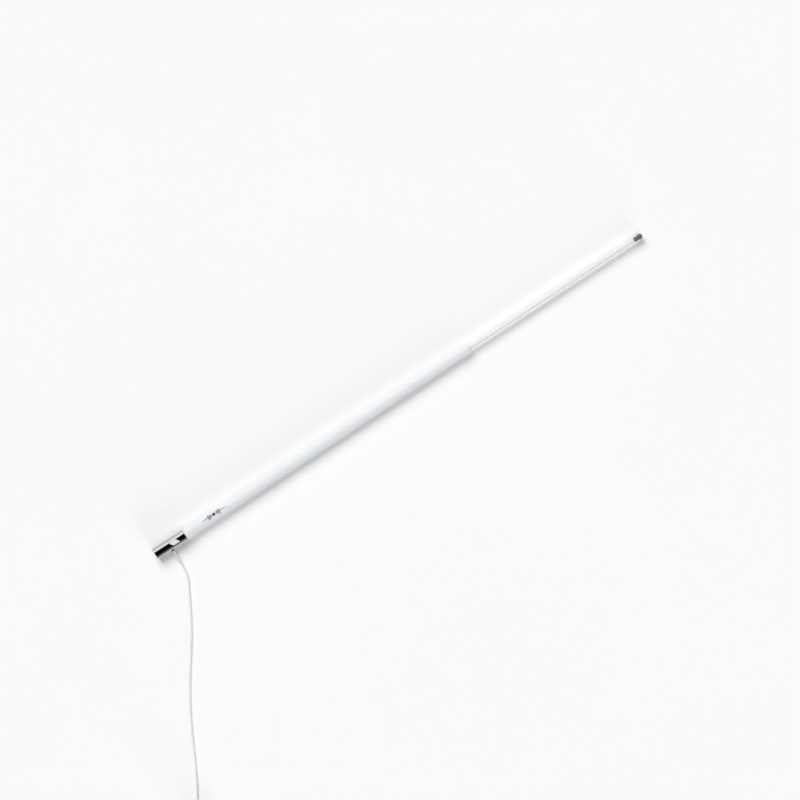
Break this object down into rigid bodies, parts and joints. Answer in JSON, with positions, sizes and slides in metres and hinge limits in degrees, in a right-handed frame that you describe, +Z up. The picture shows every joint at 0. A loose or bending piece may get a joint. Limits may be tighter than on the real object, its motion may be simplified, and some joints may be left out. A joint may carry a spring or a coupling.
{
  "type": "omnidirectional antenna",
  "caption": "Marine VHF whip antenna: plated threaded ferrule, stepped white fibreglass mast, rubber tip cap, and a coiled coaxial lead ending in a UHF plug with a turning coupling ring.",
  "frame": {"origin": "centre of the ferrule's threaded mouth", "axes": "+X along the mast from the mouth to the tip, +Z up as it lies on a flat surface, -Y the side that the lead leaves"},
  "size_m": [1.8055, 0.7692, 0.0315],
  "materials": {
    "plated_brass": "polished chrome plate over brass",
    "black_rubber": "matt black rubber",
    "collar_plastic": "satin white moulding",
    "lower_fibreglass": "gloss white lacquer on fibreglass",
    "bush_plastic": "gloss white moulding",
    "sealant": "white sealant",
    "upper_fibreglass": "gloss white lacquer on fibreglass",
    "cap_rubber": "slate blue rubber",
    "epoxy": "dark potting resin",
    "coax_jacket": "white PVC jacket",
    "foam": "closed cell foam",
    "ferrite": "dark grey sintered ferrite",
    "polythene": "natural polythene",
    "brass": "drawn brass",
    "ptfe": "white PTFE",
    "copper": "bare copper",
    "strap": "black woven strap",
    "nickel": "nickel plated brass",
    "ring_nickel": "nickel plated brass, knurled",
    "phenolic": "brown phenolic",
    "pin_silver": "silver plated brass"
  },
  "bodies": {
    "antenna": {"ferrule": "plated_brass", "window_key": "collar_plastic", "cable_grommet": "black_rubber", "base_collar": "collar_plastic", "lower_tube": "lower_fibreglass", "shoulder_bush": "bush_plastic", "step_sealant": "sealant", "upper_tube": "upper_fibreglass", "tip_cap": "cap_rubber", "potting_plug": "epoxy", "inner_coax": "coax_jacket", "coax_discs": "foam", "bead_clamps": "black_rubber", "choke_beads": "ferrite", "sleeve_end_plug": "polythene", "dipole_sleeve": "brass", "sleeve_discs": "foam", "sleeve_cap": "brass", "feed_insulator": "ptfe", "coax_dielectric": "polythene", "coax_core": "copper", "feed_crimp": "brass", "radiator_rod": "brass", "rod_discs": "foam", "coax_lead": "coax_jacket", "coax_coil": "coax_jacket", "coil_ties": "strap", "coax_tail": "coax_jacket", "plug_boot": "black_rubber", "plug_reducer": "nickel", "plug_body": "nickel", "plug_insulator": "phenolic", "plug_pin": "pin_silver"},
    "coupling_ring": {"coupling_ring": "ring_nickel"}
  },
  "joints": [
    {"name": "coupling_ring_turn", "type": "hinge", "parent": "antenna", "child": "coupling_ring", "pos_m": [-0.24268, -0.7408, -0.00645], "axis": [0.8387, -0.5446, 0], "continuous": true}
  ]
}
